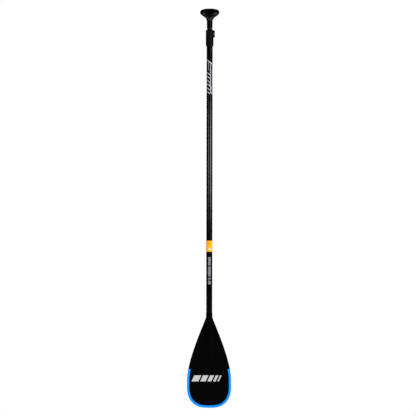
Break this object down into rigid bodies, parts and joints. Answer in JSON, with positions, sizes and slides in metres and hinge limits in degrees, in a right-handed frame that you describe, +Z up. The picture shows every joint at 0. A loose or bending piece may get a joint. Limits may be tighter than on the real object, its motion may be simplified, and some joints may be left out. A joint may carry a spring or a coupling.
{
  "type": "single blade paddle",
  "caption": "Three-piece stand-up paddle: palm grip on a sliding extension tube, lever clamp, take-down shaft and a wide blade with an edge guard.",
  "frame": {"origin": "on the shaft's axis at the take-down joint, where the upper and lower shaft tubes meet", "axes": "+Z up the shaft towards the palm grip; -Y is the blade's front, the side it leans to; +X is the side with the clamp's ears and lever pivot"},
  "size_m": [0.2044, 0.0815, 1.8437],
  "materials": {
    "grip_plastic": "semi-gloss black moulded grip, fine grain",
    "shaft_gloss": "gloss black composite tube with faint fibre weave",
    "clamp_plastic": "black glass-filled plastic, fine moulded grain",
    "hardware_steel": "turned stainless steel, satin",
    "band_yellow": "amber yellow wrapped band, semi-gloss",
    "blade_black": "matte black moulded composite skin",
    "edge_blue": "bright blue tough plastic edge strip, satin",
    "foam": "light closed-cell foam"
  },
  "bodies": {
    "upper_shaft": {"upper_tube": "shaft_gloss", "clamp_collar": "clamp_plastic", "clamp_barrel": "hardware_steel", "clamp_bolt": "hardware_steel", "clamp_washer": "hardware_steel", "joint_ferrule": "shaft_gloss", "snap_spring": "hardware_steel", "ferrule_float_plug": "foam"},
    "handle": {"palm_grip": "grip_plastic", "extension_tube": "shaft_gloss", "extension_end_plug": "clamp_plastic"},
    "lever": {"clamp_lever": "clamp_plastic"},
    "snap_catch": {"snap_button": "hardware_steel"},
    "lower_section": {"lower_tube": "shaft_gloss", "coloured_band": "band_yellow", "lower_float_plug": "foam", "neck_sleeve": "blade_black", "neck_plug": "clamp_plastic", "blade_core": "foam", "blade_front_skin": "blade_black", "blade_back_skin": "blade_black", "blade_edge_guard": "edge_blue"}
  },
  "joints": [
    {"name": "extension_slide", "type": "slide", "parent": "upper_shaft", "child": "handle", "axis": [0, 0, 1], "range_m": [-0.0065, 0.36]},
    {"name": "clamp_lever_hinge", "type": "hinge", "parent": "upper_shaft", "child": "lever", "pos_m": [0.0192, -0.01, 0.8305], "axis": [0, 0, 1], "range_deg": [0, 130]},
    {"name": "snap_button_slide", "type": "slide", "parent": "upper_shaft", "child": "snap_catch", "axis": [0, -1, 0], "range_m": [0, 0.0035], "stiffness_N_per_m": 800, "springref_m": -0.002, "deforming": ["snap_spring"]},
    {"name": "lower_section_slide", "type": "slide", "parent": "upper_shaft", "child": "lower_section", "axis": [0, 0, -1], "range_m": [0, 0.14], "deforming": ["snap_button", "snap_spring"]}
  ]
}
